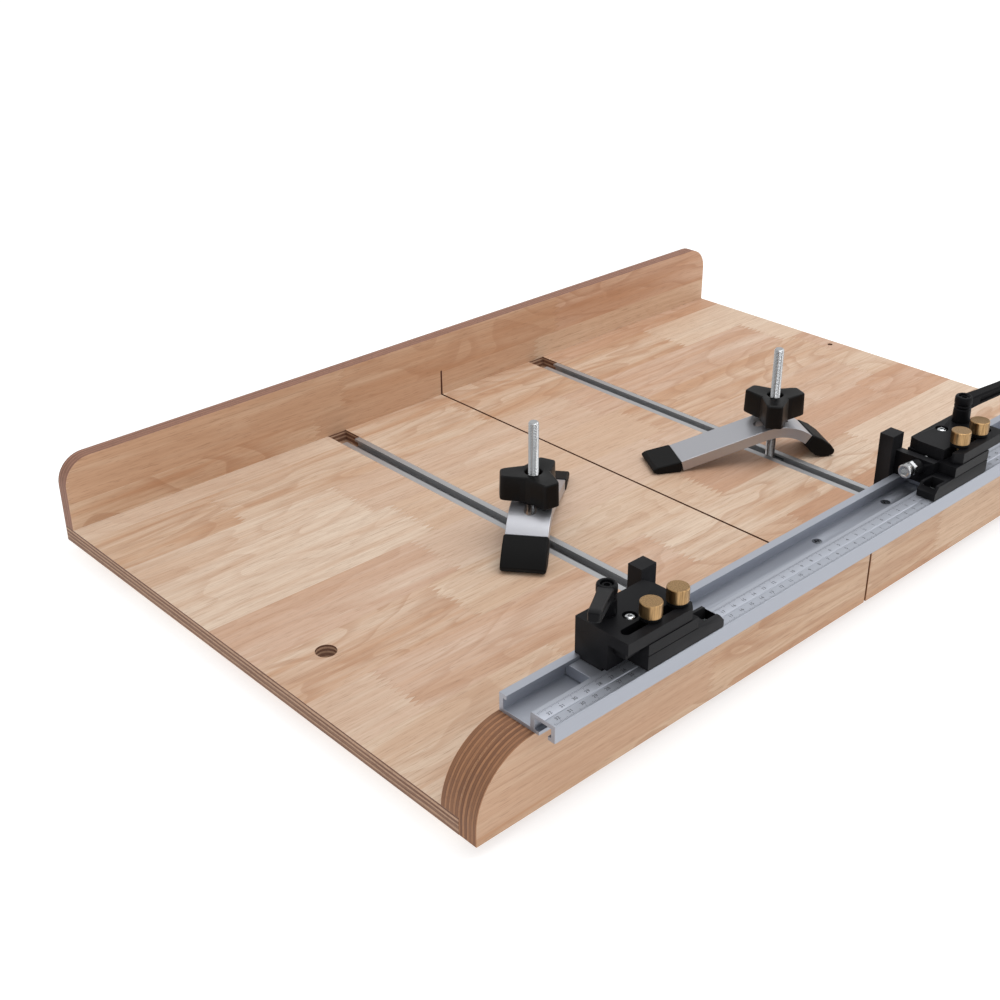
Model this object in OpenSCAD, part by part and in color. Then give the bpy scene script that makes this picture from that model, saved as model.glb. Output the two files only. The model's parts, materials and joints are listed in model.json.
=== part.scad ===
// Table-saw crosscut sled: a plywood base on two runners, a front fence topped by a
// scaled aluminium track with two fine-adjusting flip stops, a low back fence, and two
// hold-down clamps in T-tracks. Millimetres. The origin is at the middle of the bounding
// box, on the plane that the runners stand on; +X runs along the fences, +Y points from
// the front fence to the back fence, +Z is up.

/* [Base] */
// Width of the sled along its fences
base_w = 740; // [700:5:900]
// Depth from the front fence's outer face to the back edge
base_d = 475; // [460:5:600]
// Thickness of the base board
panel_t = 12.5; // [12:0.5:18]
// Width of the saw kerf
kerf_w = 2; // [1.6:0.2:3.6]
// Distance of the kerf from the middle of the width
kerf_x = 1.7; // [-5:0.1:5]
// Diameter of the hanging hole
hang_d = 15; // [10:1:25]

/* [Fences] */
// Thickness of each of the two front fence boards
front_t = 15; // [12:1:18]
// Height of the front fence above the base's underside
front_h = 56; // [50:1:60]
// Radius of the front fence's top corners
front_r = 45; // [20:1:45]
// Thickness of the back fence
back_t = 12; // [10:1:15]
// Height of the back fence above the base's underside
back_h = 70; // [50:1:90]
// Radius of the back fence's top corners
back_r = 22; // [5:1:40]

/* [Tracks] */
// Length of the scaled fence track
rail_l = 650; // [500:5:700]
// Width of the fence track
rail_w = 45; // [45:1:46]
// Distance of each T-track from the kerf
ttrack_x = 120.5; // [100:0.5:130]
// Length of each T-track
ttrack_l = 413; // [300:1:430]
// Distance of each runner from the kerf
runner_x = 150; // [140:1:200]

/* [Stops] */
// Arm-side end of the left stop's carriage, from the sled's left end
left_stop_at = 164; // [150:1:240]
// Reach of the left stop's arm out of its carriage
left_reach = 24.8; // [24.8:0.1:29.8]
// Arm-side end of the right stop's carriage, from the sled's left end
right_stop_at = 448.7; // [400:1:600]
// Reach of the right stop's arm out of its carriage
right_reach = 28.6; // [24.8:0.1:29.8]

/* [Clamps] */
// Left clamp's bolt, from the front fence's outer face
left_clamp_y = 216; // [110:1:340]
// Direction of the left clamp's heel, in degrees from +X
left_clamp_a = 38.6; // [0:0.1:90]
// Right clamp's bolt, from the front fence's outer face
right_clamp_y = 179; // [110:1:340]
// Direction of the right clamp's heel, in degrees from +X
right_clamp_a = 149.5; // [90:0.1:180]

/* [Hidden] */
$fn = 64;
eps = 0.01;

// Frame: x0 is the left end, y0 the front fence's outer face, z0 the base's underside
rail_back = 29.5;
overhang = rail_w - rail_back;
x0 = -base_w / 2;
y0 = overhang - (base_d + overhang) / 2;
runner_h = 9;
z0 = runner_h;
top_z = z0 + panel_t;
kerf_z_front = 48;
kerf_z_back = 36;

// T-track section: 19 wide, 9.5 deep
tt_w = 19;
tt_h = 9.5;
tt_slot = 8.4;
tt_lip = 2.2;
tt_cavity = 14.5;
tt_floor = 1.5;
tt_fit = 0.05;
tt_start = 2 * front_t;
tt_end = base_d - back_t;
tt_screw_x = [20, 210, 393];

// Runner section and screws
runner_w = 18.9;
runner_l = 450;
runner_start = 12;
runner_screws_y = [25, 125, 225, 325, 425];

// Fence track section
rail_h = 12.8;
rail_floor = 2.5;
rail_wall = 3.3;
rail_lip = 6;
rail_top_t = 2.8;
web_in = 25.5;
web_out = 29;
rail_foot = 32.5;
hook_in = 39.5;
hook_wall = 42;
hook_z = 1.2;
hook_t = 2.5;
groove_at = 37;
groove_d = 0.6;
rail_z = z0 + front_h;
rail_screws_x = [for (d = [-240, -41, 41, 240]) kerf_x + d];
rail_screw_y = y0 + 18.5;

// Stops: heights are above the base's underside, depths from the front fence's outer face
rail_top = front_h + rail_h;
gap = 0.3;
car_l = 60.4;
car_y0 = 1.5;
car_y1 = 27.5;
car_z0 = rail_top + gap;
car_z1 = 87;
plate_z1 = 95;
plate_y0 = -14.5;
bar_y0 = -15;
bar_y1 = 0.9;
bar_z1 = 86.7;
bar_v0 = 24.3;
bar_v1 = 68;
tongue_v1 = 80;
tongue_y0 = -8;
tongue_z0 = 79;
slot_y = -4.5;
slot_w = 6.5;
slot_u1 = 54.9;
screw_y = 12;
screw_z = 82.5;
// Stations of the two brass knobs, measured inwards from the cursor frame's outer end
left_knobs = [32.2, 55.7];
right_knobs = [43.2, 68.2];

// Knobs: height of the black collar under each brass knob, and radius of the knob
collar_h = 2.2;
knob_r = 7;
knob_h = 9.5;
m6_r = 3;

// Stop arm: the post's station and depth, the shoulder's start, and the heights they reach
post_v0 = 11.8;
post_v1 = 25.3;
post_y0 = 30.3;
post_y1 = 41.5;
post_z0 = 14.8;
post_z1 = 99.5;
shoulder_v0 = 17.8;
shoulder_z1 = 87.5;

// Adjusting screw
screw_head_r = 5.25;
screw_head_h = 6;
screw_end_v = 58;

// Lever: its hub, and the handle that rises from it
hub_r = 6.6;
hub_h = 20;
handle_z = 109;
handle_rise = 13;
handle_l = 45;

// Clamps: heights above the base's underside
bolt_top = 107.5;
bolt_r = 4;
bolt_head_w = 13.8;
bolt_head_l = 20;
bolt_head_z = [5, 9.6];
washer_z = 44;
washer_t = 1.6;
washer_r = 11;
star_z = [46.8, 67];
star_hub_r = 10;
insert_h = 16;

// Clamp bar: straight from the heel, then arched down to the toe
bar_w = 32;
bar_t = 9;
heel_end = 84;
heel_top = 22;
apex_r = 47;
slope_a = 15.3;
toe_a = 36;
toe_run = 2;
arch_z = 43.6;
// Slot for the bolt: the stations of its two round ends, and their radius
bar_slot = [-8.5, 12];
bar_slot_r = 4.6;
// Distance that the left bar is slid along its slot towards its toe
left_bar_slid = 8.5;

// ---- shared shapes ----

// Box from its low corner to its high corner
module span(a, b) {
    translate(a) cube([b[0] - a[0], b[1] - a[1], b[2] - a[2]]);
}

// Upright board of width base_w with both top corners rounded, from height lo to height hi
module rounded_board(y, t, lo, hi, r) {
    translate([0, y + t, 0]) rotate([90, 0, 0]) linear_extrude(t) intersection() {
        union() {
            translate([x0, z0]) square([base_w, hi - r]);
            translate([x0 + r, z0]) square([base_w - 2 * r, hi]);
            for (s = [-1, 1]) translate([s * (base_w / 2 - r), z0 + hi - r]) circle(r, $fn = 128);
        }
        translate([x0, z0 + lo]) square([base_w, hi - lo]);
    }
}

// Saw kerf up to height h above the base's underside
module kerf(h) {
    span([kerf_x - kerf_w / 2, -base_d, -1], [kerf_x + kerf_w / 2, base_d, z0 + h]);
}

// Countersunk screw with its head's flat face at the origin, pointing along -Z
module flat_screw(head_r, r, l) {
    rotate_extrude() polygon([[0, 0], [head_r, 0], [r, r - head_r], [r, r - l], [0, -l]]);
}

// Hex socket in a screw head whose face is at the origin, cut along -Z
module hex_socket(r, depth) {
    translate([0, 0, -depth]) cylinder(h = depth + 1, r = r, $fn = 6);
}

// ---- base ----

// Screw places in the base, in sled coordinates
fence_x = [30, 120, 195, 330, 410, 545, 620, 710];

module runner_screw_places() {
    for (s = [-1, 1], y = runner_screws_y)
        translate([kerf_x + s * runner_x, y0 + runner_start + y, 0]) children();
}

module fence_screw_places(y) {
    for (x = fence_x) translate([x0 + x, y0 + y, z0]) children();
}

module t_track_screw_places() {
    for (s = [-1, 1], y = tt_screw_x)
        translate([kerf_x + s * ttrack_x, y0 + tt_start + y, top_z - tt_h + tt_floor]) children();
}

// The base's screws, which also cut their own holes
module runner_screw_shape() {
    rotate([180, 0, 0]) translate([0, 0, -0.8]) flat_screw(3.8, 1.9, 16);
}

module fence_screw_shape() {
    rotate([180, 0, 0]) flat_screw(4, 2, 45);
}

module t_track_screw_shape() {
    flat_screw(3, 1.4, 4.3);
}

module base_board() {
    difference() {
        span([x0, y0 + front_t, z0], [-x0, y0 + base_d, top_z]);
        kerf(panel_t + 1);
        for (s = [-1, 1]) translate([kerf_x + s * ttrack_x, 0, 0])
            span([-tt_w / 2 - tt_fit, y0 + tt_start, top_z - tt_h],
                [tt_w / 2 + tt_fit, y0 + tt_end, top_z + 1]);
        translate([x0 + 44.3, y0 + 198.7, z0 - 1]) cylinder(h = panel_t + 2, d = hang_d);
        translate([x0 + 730.7, y0 + 289, z0 - 1]) cylinder(h = panel_t + 2, d = 5);
        runner_screw_places() runner_screw_shape();
        fence_screw_places(1.5 * front_t) fence_screw_shape();
        fence_screw_places(base_d - back_t / 2) fence_screw_shape();
        t_track_screw_places() t_track_screw_shape();
    }
}

module base_panel_left() {
    color("burlywood") intersection() {
        base_board();
        span([x0, -base_d, 0], [kerf_x, base_d, top_z]);
    }
}

module base_panel_right() {
    color("burlywood") intersection() {
        base_board();
        span([kerf_x, -base_d, 0], [-x0, base_d, top_z]);
    }
}

module front_fence_inner() {
    color("tan") difference() {
        rounded_board(y0 + front_t, front_t, panel_t, front_h, front_r);
        kerf(kerf_z_front);
        fence_screw_places(1.5 * front_t) fence_screw_shape();
        rail_screw_places() rail_screw_shape();
    }
}

module front_fence_outer() {
    color("tan") difference() {
        rounded_board(y0, front_t, 0, front_h, front_r);
        kerf(kerf_z_front);
    }
}

module back_fence() {
    color("tan") difference() {
        rounded_board(y0 + base_d - back_t, back_t, panel_t, back_h, back_r);
        kerf(kerf_z_back);
        fence_screw_places(base_d - back_t / 2) fence_screw_shape();
    }
}

module fence_screws() {
    color("dimgray") {
        fence_screw_places(1.5 * front_t) fence_screw_shape();
        fence_screw_places(base_d - back_t / 2) fence_screw_shape();
    }
}

// ---- tracks and runners ----

module rail_screw_places() {
    for (x = rail_screws_x) translate([x, rail_screw_y, rail_z + rail_floor]) children();
}

module rail_screw_shape() {
    flat_screw(3.6, 1.8, 18);
}

// Section of the fence track: distance forwards from its back face, and height
function rail_outline() = [
    [0, 0], [0, rail_h], [rail_lip, rail_h], [rail_lip, rail_h - rail_top_t],
    [rail_wall, rail_h - rail_top_t], [rail_wall, rail_floor], [web_in, rail_floor],
    [web_in, rail_h - groove_d], [web_in + groove_d, rail_h], [groove_at - groove_d, rail_h],
    [groove_at, rail_h - groove_d], [groove_at + groove_d, rail_h], [rail_w - 0.4, rail_h],
    [rail_w, rail_h - 0.4], [rail_w, hook_z], [hook_in, hook_z], [hook_in, hook_z + hook_t],
    [hook_wall, hook_z + hook_t], [hook_wall, rail_h - rail_top_t],
    [web_out, rail_h - rail_top_t], [web_out, rail_floor], [rail_foot, rail_floor], [rail_foot, 0]];

module fence_track() {
    color("silver") difference() {
        translate([rail_l / 2, y0 + rail_back, rail_z]) rotate([0, 0, -90]) rotate([90, 0, 0])
            linear_extrude(rail_l) polygon(rail_outline());
        rail_screw_places() rail_screw_shape();
    }
}

module fence_track_screws() {
    color("gray") rail_screw_places() rail_screw_shape();
}

// T-track centred on x
module t_track(x) {
    color("silver") difference() {
        translate([x, 0, 0]) difference() {
            span([-tt_w / 2, y0 + tt_start, top_z - tt_h],
                [tt_w / 2, y0 + tt_start + ttrack_l, top_z]);
            span([-tt_cavity / 2, y0, top_z - tt_h + tt_floor],
                [tt_cavity / 2, y0 + base_d, top_z - tt_lip]);
            span([-tt_slot / 2, y0, top_z - tt_lip - eps], [tt_slot / 2, y0 + base_d, top_z + 1]);
        }
        t_track_screw_places() t_track_screw_shape();
    }
}

module t_track_left() { t_track(kerf_x - ttrack_x); }
module t_track_right() { t_track(kerf_x + ttrack_x); }

module t_track_screws() {
    color("gray") t_track_screw_places() t_track_screw_shape();
}

// Runner centred on x
module runner(x) {
    color("silver") difference() {
        translate([x, 0, 0]) span([-runner_w / 2, y0 + runner_start, 0],
            [runner_w / 2, y0 + runner_start + runner_l, runner_h]);
        runner_screw_places() runner_screw_shape();
        runner_screw_places() translate([0, 0, -eps]) cylinder(h = 0.8 + 2 * eps, r = 3.8);
    }
}

module runner_left() { runner(kerf_x - runner_x); }
module runner_right() { runner(kerf_x + runner_x); }

module runner_screws() {
    color("gray") runner_screw_places() runner_screw_shape();
}

// ---- stops ----
// A stop is drawn with u running inwards along +X from the arm-side end of its carriage at
// u = 0. The arm's own length v runs the same way from the cursor frame's outer end, so
// v = u + reach. The right stop is drawn so; the left one is its mirror image.

module stop_place(left) {
    if (left) translate([x0 + left_stop_at, y0, z0]) mirror([1, 0, 0]) children();
    else translate([x0 + right_stop_at, y0, z0]) children();
}

// Station of the lever's hub: the left and right levers stand a little differently
function hub_at(left) = left ? 45 : 52.5;

module stud_axis(left) {
    translate([hub_at(left), 17.6, 0]) children();
}

// Cap screw that comes up through the carriage block into the top plate
under_screw_l = 22;
module under_screw_place() {
    translate([14, 22, 70]) children();
}

// Button-head screw on the top plate, sunk in a counterbore
function plate_screw_at(left) = left ? [37.3, 5.8] : [30.5, 19.7];
sunk_r = 4.7;
sunk_d = 2.2;

module plate_screw_place(left, z) {
    translate([plate_screw_at(left)[0], plate_screw_at(left)[1], z]) children();
}

module carriage_block(left) {
    color("#202022") stop_place(left) difference() {
        union() {
            span([0, car_y0, car_z0], [car_l, car_y1, car_z1]);
            span([0, 5, rail_top - 1.8], [car_l, 22.8, car_z0 + eps]);
        }
        translate([-1, screw_y, screw_z]) rotate([0, 90, 0]) cylinder(h = 41, r = m6_r + 0.06);
        stud_axis(left) translate([0, 0, 50]) cylinder(h = 60, r = m6_r + 0.08);
        plate_screw_place(left, car_z1 - 10) cylinder(h = 12, r = 2);
        under_screw_place() {
            cylinder(h = 18, r = 2);
            translate([0, 0, -5]) cylinder(h = 8, r = 3.8);
        }
    }
}

// Top plate's outline, with its two arm-side corners cut off
function plate_outline() = [[5, plate_y0], [car_l, plate_y0], [car_l, car_y1], [2.5, car_y1],
    [0, car_y1 - 8], [0, plate_y0 + 5]];

module top_plate(left) {
    color("#26262a") stop_place(left) difference() {
        translate([0, 0, car_z1]) linear_extrude(plate_z1 - car_z1) polygon(plate_outline());
        span([-1, slot_y - slot_w / 2, car_z1 - 1], [slot_u1 - slot_w / 2, slot_y + slot_w / 2, plate_z1 + 1]);
        translate([slot_u1 - slot_w / 2, slot_y, car_z1 - 1]) cylinder(h = 12, d = slot_w);
        stud_axis(left) translate([0, 0, 50]) cylinder(h = 60, r = m6_r + 0.08);
        plate_screw_place(left, car_z1 - 10) cylinder(h = 25, r = 2);
        plate_screw_place(left, plate_z1 - sunk_d) cylinder(h = sunk_d + 1, r = sunk_r);
        under_screw_place() cylinder(h = under_screw_l, r = 2);
    }
}

// One bright button-head screw from above and one cap screw from below
module plate_screws(left) {
    color("lightgray") stop_place(left) {
        plate_screw_place(left, plate_z1 - sunk_d) difference() {
            union() {
                translate([0, 0, -14.5]) cylinder(h = 14.5, r = 2);
                rotate_extrude() polygon([[0, 0], [3.8, 0], [3.6, 0.9], [2.8, 1.7], [1.7, 2.1], [0, 2.2]]);
            }
            translate([0, 0, 2.2]) hex_socket(1.45, 1.4);
        }
        under_screw_place() {
            cylinder(h = under_screw_l, r = 2);
            cylinder(h = 3, r = 3.5);
        }
    }
}

// Plate that slides in the track's channel, with a foot under the track's back lip
module slider_plate(left) {
    color("silver") stop_place(left) difference() {
        union() {
            span([2, 4.35, 58.85], [69.5, 23.15, 66.5]);
            span([2, 20, 58.85], [69.5, 25.8, 65.4]);
        }
        stud_axis(left) translate([0, 0, 50]) cylinder(h = 60, r = m6_r + 0.08);
    }
}

// Stud that the lever turns, threaded into the slider plate
module lever_stud(left) {
    color("silver") stop_place(left) stud_axis(left)
        translate([0, 0, 59.3]) cylinder(h = 50, r = m6_r);
}

// Direction of the lever's handle, in degrees from inwards towards the front
function handle_turn(left) = left ? 34 : 22;

// Lever: a hub over the stud and a rising tapered handle pointing away from the arm
module clamp_lever(left) {
    color("#1c1c1e") stop_place(left) stud_axis(left) difference() {
        union() {
            translate([0, 0, plate_z1 + gap]) cylinder(h = hub_h, r = hub_r);
            rotate([0, 0, -handle_turn(left)]) translate([0, 0, handle_z])
                rotate([0, 90 - handle_rise, 0]) lever_handle();
        }
        translate([0, 0, 50]) cylinder(h = 59.3, r = m6_r);
        translate([0, 0, plate_z1 + gap + hub_h - 3]) cylinder(h = 5, r = 3.6);
    }
}

module lever_handle() {
    rotate_extrude() polygon([[0, 0], [4.8, 0], [4.4, handle_l / 2], [4.2, handle_l - 5],
        [3.6, handle_l - 1], [0, handle_l]]);
}

// Boss on the shoulder for the adjusting screw: its station and radius
function boss_v(left) = left ? 14.5 : 10.5;
boss_r = 6.2;

// Stop arm: front bar, hidden tongue, cursor frame, shoulder and the upright stop post
module stop_arm(left) {
    reach = left ? left_reach : right_reach;
    knobs = left ? left_knobs : right_knobs;
    color("#202022") stop_place(left) translate([-reach, 0, 0]) difference() {
        union() {
            difference() {
                span([bar_v0, bar_y0, car_z0], [bar_v1, bar_y1, bar_z1]);
                span([bar_v0 - 1, bar_y0 - 1, 78.7], [bar_v1 + 1, bar_y0 + 0.5, 79.3]);
            }
            span([bar_v1 - eps, tongue_y0, tongue_z0], [tongue_v1, bar_y1, bar_z1]);
            cursor_frame();
            span([shoulder_v0, -1, car_z0], [bar_v0, post_y0 + eps, shoulder_z1]);
            span([shoulder_v0, bar_y0, car_z0], [bar_v0 + eps, -0.9, tongue_z0]);
            span([post_v0, post_y0, post_z0], [post_v1, post_y1, post_z1]);
            translate([boss_v(left), screw_y, screw_z - 2]) rotate([0, 90, 0])
                cylinder(h = shoulder_v0 - boss_v(left) + eps, r = boss_r);
        }
        translate([boss_v(left) - 1, screw_y, screw_z]) rotate([0, 90, 0])
            cylinder(h = 20, r = m6_r + 0.06);
        for (v = knobs) translate([v, slot_y, 79.5]) cylinder(h = 10, r = 2.5);
    }
}

// Open frame round the cursor's lens, sloping up to the shoulder
module cursor_frame() {
    difference() {
        span([0, bar_y0, car_z0], [17.9, -0.5, tongue_z0]);
        span([2.6, bar_y0 + 2.6, car_z0 - 1], [15.6, -2.6, tongue_z0 + 1]);
        rotate([90, 0, 0]) translate([0, 0, -5]) linear_extrude(30)
            polygon([[-1, 74], [0, 74], [5, 80], [-1, 80]]);
    }
}

module cursor_lens(left) {
    reach = left ? left_reach : right_reach;
    color([0.8, 0.9, 0.95, 0.4]) stop_place(left) translate([-reach, 0, 0])
        span([2.6, bar_y0 + 2.6, car_z0 + 0.1], [15.6, -2.6, car_z0 + 1.6]);
}

// Place of a knob on the arm; k counts from the arm side
module knob_place(left, k) {
    reach = left ? left_reach : right_reach;
    v = (left ? left_knobs : right_knobs)[k];
    stop_place(left) translate([v - reach, slot_y, 0]) children();
}

// Brass knob with its stud
module brass_knob(left, k) {
    knob_z = plate_z1 + gap + collar_h;
    color("goldenrod") knob_place(left, k) {
        translate([0, 0, knob_z]) rotate_extrude()
            polygon([[0, 0], [knob_r - 0.3, 0], [knob_r, 0.3], [knob_r, knob_h - 0.5],
                [knob_r - 0.5, knob_h], [0, knob_h]]);
        translate([0, 0, 80]) cylinder(h = knob_z - 80 + eps, r = 2.45);
    }
}

// Black collar under a knob
module knob_collar(left, k) {
    color("#202022") knob_place(left, k) translate([0, 0, plate_z1 + gap]) difference() {
        cylinder(h = collar_h - 0.05, r = knob_r - 0.4);
        translate([0, 0, -1]) cylinder(h = collar_h + 2, r = 2.5);
    }
}

// Socket-head adjusting screw, threaded in the carriage block
module adjust_screw(left) {
    reach = left ? left_reach : right_reach;
    head_v = left ? 7.4 : 0.8;
    color("lightgray") stop_place(left) translate([-reach, screw_y, screw_z]) rotate([0, 90, 0])
        difference() {
            union() {
                translate([0, 0, head_v]) cylinder(h = screw_head_h, r = screw_head_r);
                translate([0, 0, head_v + 5]) cylinder(h = screw_end_v - head_v - 5, r = m6_r);
            }
            translate([0, 0, head_v]) rotate([180, 0, 0]) hex_socket(2.6, 3.2);
        }
}

// Lock nut on the right screw, plain washer on the left one
module adjust_nut(left) {
    reach = left ? left_reach : right_reach;
    color("lightgray") stop_place(left) translate([-reach, screw_y, screw_z]) rotate([0, 90, 0])
        difference() {
            union() {
                if (left) translate([0, 0, 13.42]) cylinder(h = 0.9, r = 6);
                else translate([0, 0, 6.82]) cylinder(h = 3.3, r = 5.7, $fn = 6);
            }
            cylinder(h = 30, r = m6_r);
        }
}

// ---- clamps ----
// A clamp is drawn with its bolt on the Z axis and its heel along +X.

module clamp_place(left) {
    translate([kerf_x + (left ? -1 : 1) * ttrack_x, y0 + (left ? left_clamp_y : right_clamp_y), z0])
        rotate([0, 0, left ? left_clamp_a : right_clamp_a]) children();
}

module t_bolt(left) {
    turn = left ? left_clamp_a : right_clamp_a;
    color("lightgray") clamp_place(left) {
        translate([0, 0, bolt_head_z[1] - 1]) cylinder(h = bolt_top - bolt_head_z[1] + 1, r = bolt_r);
        rotate([0, 0, -turn]) span([-bolt_head_w / 2, -bolt_head_l / 2, bolt_head_z[0]],
            [bolt_head_w / 2, bolt_head_l / 2, bolt_head_z[1]]);
    }
}

// Point on an arc of radius r about the arch's centre, at angle a from the vertical
function arch(r, a) = [r * sin(a), arch_z - apex_r + r * cos(a)];

// Point on the toe's end face that continues the arc of radius r
function toe_end(r) = arch(r, -toe_a) + toe_run * [-cos(toe_a), -sin(toe_a)];

// Place of a bar, slid along its own slot
module bar_place(left) {
    clamp_place(left) translate([left ? -left_bar_slid : 0, 0, 0]) children();
}

// Solid of width w from a side outline
module bar_solid(w) {
    translate([0, w / 2, 0]) rotate([90, 0, 0]) linear_extrude(w) children();
}

// Side outline of the bar: an arch of two concentric arcs joins the straight to the toe
module bar_outline() {
    outer = [for (a = [-toe_a : 3 : slope_a]) arch(apex_r, a)];
    inner = [for (a = [slope_a : -3 : -toe_a]) arch(apex_r - bar_t, a)];
    polygon(concat([toe_end(apex_r)], outer,
        [[heel_end, heel_top], [heel_end - bar_t * sin(slope_a), heel_top - bar_t * cos(slope_a)]],
        inner, [toe_end(apex_r - bar_t)]));
}

module clamp_bar(left) {
    color("silver") bar_place(left) difference() {
        bar_solid(bar_w) bar_outline();
        for (x = bar_slot) translate([x, 0, 0]) cylinder(h = 60, r = bar_slot_r);
        span([bar_slot[0], -bar_slot_r, 0], [bar_slot[1], bar_slot_r, 60]);
    }
}

// Rubber pads on the bar's two ends
pad_w = 33.8;

module toe_pad(left) {
    color("#18181a") bar_place(left) bar_solid(pad_w)
        polygon(concat([toe_end(apex_r + 0.8), toe_end(apex_r - bar_t - 0.5)], [[-29, 19], [-34, 14.6],
            [-39, 12.9], [-46, 12.9], [-50.2, 14.4], [-51.2, 17.4], [-47, 23], [-39, 29.3]]));
}

module heel_pad(left) {
    color("#18181a") bar_place(left) bar_solid(pad_w)
        polygon([[heel_end, 22.6], [heel_end - 1, 12.9], [104, 12.9], [107.5, 14.5], [108, 17], [105, 19]]);
}

module clamp_washer(left) {
    color("#18181a") clamp_place(left) translate([0, 0, washer_z]) difference() {
        cylinder(h = washer_t, r = washer_r);
        translate([0, 0, -1]) cylinder(h = 4, r = bolt_r + 0.08);
    }
}

module star_knob(left) {
    turn = left ? left_clamp_a : right_clamp_a;
    lobe = left ? 139.6 : 97.6;
    color("#18181a") clamp_place(left) rotate([0, 0, lobe - turn]) difference() {
        union() {
            translate([0, 0, washer_z + washer_t + gap]) cylinder(h = 4, r = star_hub_r);
            translate([0, 0, star_z[0]]) linear_extrude(star_z[1] - star_z[0]) star_outline();
        }
        translate([0, 0, 40]) cylinder(h = 40, r = 6);
        translate([0, 0, star_z[1] - 3]) cylinder(h = 5, r = 7.6);
    }
}

// Three blunt lobes blended by shallow waists
module star_outline() {
    difference() {
        union() {
            circle(15);
            for (a = [0, 120, 240]) rotate([0, 0, a]) {
                translate([18, 0]) circle(7.5);
                translate([0, -7.5]) square([18, 15]);
            }
        }
        for (a = [60, 180, 300]) rotate([0, 0, a]) translate([28, 0]) circle(15);
    }
}

module knob_insert(left) {
    color("goldenrod") clamp_place(left) translate([0, 0, washer_z + washer_t + gap]) difference() {
        cylinder(h = insert_h, r = 6);
        translate([0, 0, -1]) cylinder(h = 20, r = bolt_r + 0.08);
    }
}

// ---- every node ----

base_panel_left();
base_panel_right();
front_fence_inner();
front_fence_outer();
back_fence();
fence_screws();
fence_track();
fence_track_screws();
t_track_left();
t_track_right();
t_track_screws();
runner_left();
runner_right();
runner_screws();
carriage_block(true);  // left_carriage_block
top_plate(true);  // left_top_plate
plate_screws(true);  // left_plate_screws
slider_plate(true);  // left_slider_plate
lever_stud(true);  // left_lever_stud
clamp_lever(true);  // left_clamp_lever
stop_arm(true);  // left_stop_arm
cursor_lens(true);  // left_cursor_lens
brass_knob(true, 1);  // left_knob_inner
knob_collar(true, 1);  // left_collar_inner
brass_knob(true, 0);  // left_knob_outer
knob_collar(true, 0);  // left_collar_outer
adjust_screw(true);  // left_adjust_screw
adjust_nut(true);  // left_adjust_nut
carriage_block(false);  // right_carriage_block
top_plate(false);  // right_top_plate
plate_screws(false);  // right_plate_screws
slider_plate(false);  // right_slider_plate
lever_stud(false);  // right_lever_stud
clamp_lever(false);  // right_clamp_lever
stop_arm(false);  // right_stop_arm
cursor_lens(false);  // right_cursor_lens
brass_knob(false, 1);  // right_knob_inner
knob_collar(false, 1);  // right_collar_inner
brass_knob(false, 0);  // right_knob_outer
knob_collar(false, 0);  // right_collar_outer
adjust_screw(false);  // right_adjust_screw
adjust_nut(false);  // right_adjust_nut
t_bolt(true);  // left_t_bolt
clamp_bar(true);  // left_clamp_bar
toe_pad(true);  // left_toe_pad
heel_pad(true);  // left_heel_pad
clamp_washer(true);  // left_clamp_washer
star_knob(true);  // left_star_knob
knob_insert(true);  // left_knob_insert
t_bolt(false);  // right_t_bolt
clamp_bar(false);  // right_clamp_bar
toe_pad(false);  // right_toe_pad
heel_pad(false);  // right_heel_pad
clamp_washer(false);  // right_clamp_washer
star_knob(false);  // right_star_knob
knob_insert(false);  // right_knob_insert
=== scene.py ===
"""Looks of the crosscut sled: procedural wood, metal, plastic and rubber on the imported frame.

Lengths are given in millimetres and turned into metres by MM. Pieces are placed from the
frame's node boxes, in the frame's own axes: +X along the fences, +Y to the back, +Z up.
"""

import itertools
import json
import math

import bmesh
import bpy
from mathutils import Matrix, Vector


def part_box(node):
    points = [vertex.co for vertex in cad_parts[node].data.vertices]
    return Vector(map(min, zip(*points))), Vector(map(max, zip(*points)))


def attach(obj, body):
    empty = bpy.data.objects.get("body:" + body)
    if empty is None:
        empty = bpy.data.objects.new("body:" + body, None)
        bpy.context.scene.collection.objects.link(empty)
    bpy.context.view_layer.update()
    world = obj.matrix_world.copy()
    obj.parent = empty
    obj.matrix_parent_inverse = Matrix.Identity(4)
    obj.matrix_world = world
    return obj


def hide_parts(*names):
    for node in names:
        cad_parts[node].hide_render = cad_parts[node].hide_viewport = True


MM = 0.001

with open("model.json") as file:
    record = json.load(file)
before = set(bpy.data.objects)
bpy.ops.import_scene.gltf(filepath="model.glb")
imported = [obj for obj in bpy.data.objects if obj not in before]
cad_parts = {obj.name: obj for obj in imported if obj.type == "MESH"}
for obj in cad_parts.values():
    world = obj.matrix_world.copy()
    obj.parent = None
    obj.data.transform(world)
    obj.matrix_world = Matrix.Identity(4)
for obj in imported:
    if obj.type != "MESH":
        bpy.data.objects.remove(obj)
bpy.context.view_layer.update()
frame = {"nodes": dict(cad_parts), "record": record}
NODES = frame["nodes"]
BODY_OF = {node: body for body, names in frame["record"]["behaviour"]["bodies"].items() for node in names}


# ---------------------------------------------------------------- node tree helpers


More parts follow.
